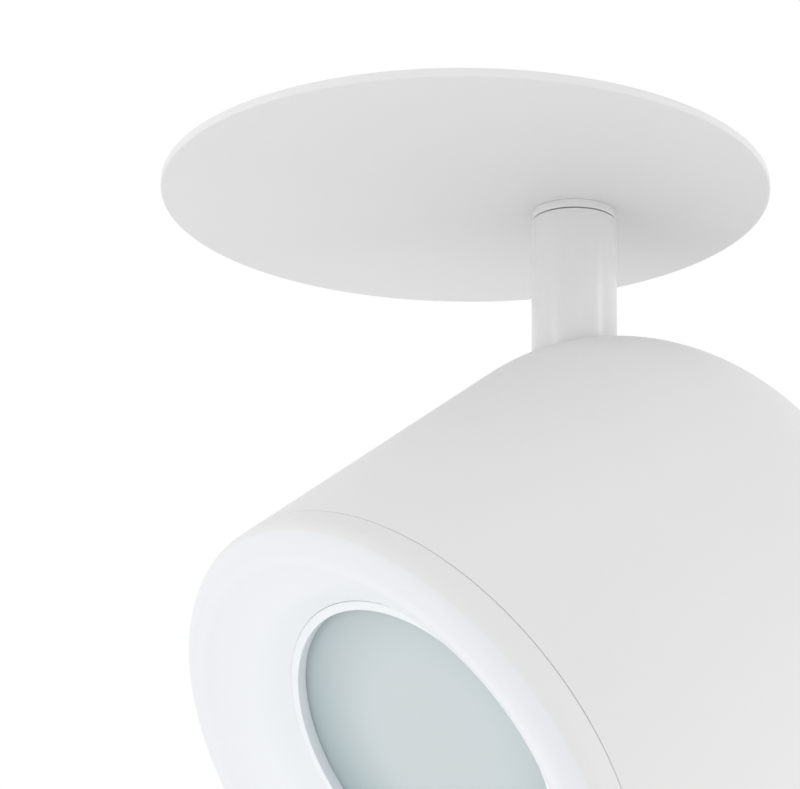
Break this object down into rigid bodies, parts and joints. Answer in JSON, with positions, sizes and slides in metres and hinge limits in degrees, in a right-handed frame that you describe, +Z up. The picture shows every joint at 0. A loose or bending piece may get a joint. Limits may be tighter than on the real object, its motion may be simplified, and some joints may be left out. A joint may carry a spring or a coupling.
{
  "type": "recessed spotlight",
  "caption": "Round ceiling spotlight with a wide dome-backed head that tilts and turns on an off-centre stem, and a plate with spring clips for a ceiling cut-out.",
  "frame": {"origin": "centre of the plate collar, on the ceiling face of the visible plate", "axes": "+Z up into the ceiling along the cut-out axis; the head looks towards -Y and down; the stem stands on the +Y side, a little towards +X"},
  "size_m": [0.1368, 0.1622, 0.2024],
  "materials": {
    "white_paint": "matt white powder coat with a fine even grain",
    "ring_paint": "satin white paint",
    "lip_enamel": "gloss white paint",
    "frosted_glass": "frosted, pale grey green, satin surface",
    "zinc_plate": "bright zinc plate",
    "spring_steel": "bare spring steel",
    "pale_nylon": "natural moulded plastic",
    "friction_fibre": "dark pressed fibre",
    "black_rubber": "matt moulded rubber",
    "lead_jacket": "extruded lead insulation",
    "bare_aluminium": "cast and machined, bare",
    "board_white": "white coated board",
    "pad_grey": "soft thermal pad",
    "phosphor": "yellow phosphor disc",
    "bright_reflector": "bright satin reflector"
  },
  "bodies": {
    "plate": {"ceiling_plate": "white_paint", "recess_can": "zinc_plate", "can_screws": "zinc_plate", "cable_grommet": "black_rubber", "terminal_block": "pale_nylon", "terminal_screws": "zinc_plate", "cable_clamp": "pale_nylon", "clamp_screws": "zinc_plate", "supply_leads": "lead_jacket", "clip_bracket_left": "zinc_plate", "clip_bracket_right": "zinc_plate", "clip_screws": "zinc_plate", "clip_pin_left": "zinc_plate", "clip_pin_right": "zinc_plate", "clip_spring_left": "spring_steel", "clip_spring_right": "spring_steel", "stem_collar": "white_paint", "collar_nut": "zinc_plate", "swivel_bush": "pale_nylon", "friction_washer": "friction_fibre", "stop_pin": "zinc_plate"},
    "stem": {"swivel_spindle": "zinc_plate", "stem_tube": "white_paint", "stem_knuckle": "white_paint", "stem_leads": "lead_jacket", "lock_nut": "zinc_plate", "stop_washer": "zinc_plate", "disc_spring": "spring_steel"},
    "head": {"tilt_bracket": "zinc_plate", "bracket_screws": "zinc_plate", "tilt_pin": "zinc_plate", "tilt_washers": "friction_fibre", "tilt_spring_washer": "spring_steel", "tilt_nut": "zinc_plate", "heat_sink": "bare_aluminium", "heat_sink_screws": "zinc_plate", "thermal_pad": "pad_grey", "led_board": "board_white", "led_emitter": "phosphor", "led_holder": "pale_nylon", "led_screws": "zinc_plate", "head_leads": "lead_jacket", "reflector": "bright_reflector", "glass_gasket": "black_rubber", "front_glass": "frosted_glass", "glass_retainer": "lip_enamel", "clamp_ring": "zinc_plate", "front_ring": "ring_paint", "ring_seal": "black_rubber", "head_housing": "white_paint"},
    "clip_left": {"clip_arm_left": "spring_steel", "clip_pad_left": "pale_nylon"},
    "clip_right": {"clip_arm_right": "spring_steel", "clip_pad_right": "pale_nylon"}
  },
  "joints": [
    {"name": "stem_pan", "type": "hinge", "parent": "plate", "child": "stem", "pos_m": [0.0092, 0.02421, 0], "axis": [0, 0, 1], "range_deg": [-165, 165]},
    {"name": "head_tilt", "type": "hinge", "parent": "stem", "child": "head", "pos_m": [0.0092, 0.02421, -0.1007], "axis": [-1, 0, 0], "range_deg": [-53.4, 1.6]},
    {"name": "clip_left_fold", "type": "hinge", "parent": "plate", "child": "clip_left", "pos_m": [-0.02292, -0.03697, 0.011], "axis": [-0.8499, 0.527, 0], "range_deg": [0, 98], "stiffness_Nm_per_rad": 0.2, "springref_deg": -57.3, "deforming": ["clip_spring_left"]},
    {"name": "clip_right_fold", "type": "hinge", "parent": "plate", "child": "clip_right", "pos_m": [0.02292, 0.03697, 0.011], "axis": [0.8499, -0.527, 0], "range_deg": [0, 98], "stiffness_Nm_per_rad": 0.2, "springref_deg": -57.3, "deforming": ["clip_spring_right"]}
  ]
}
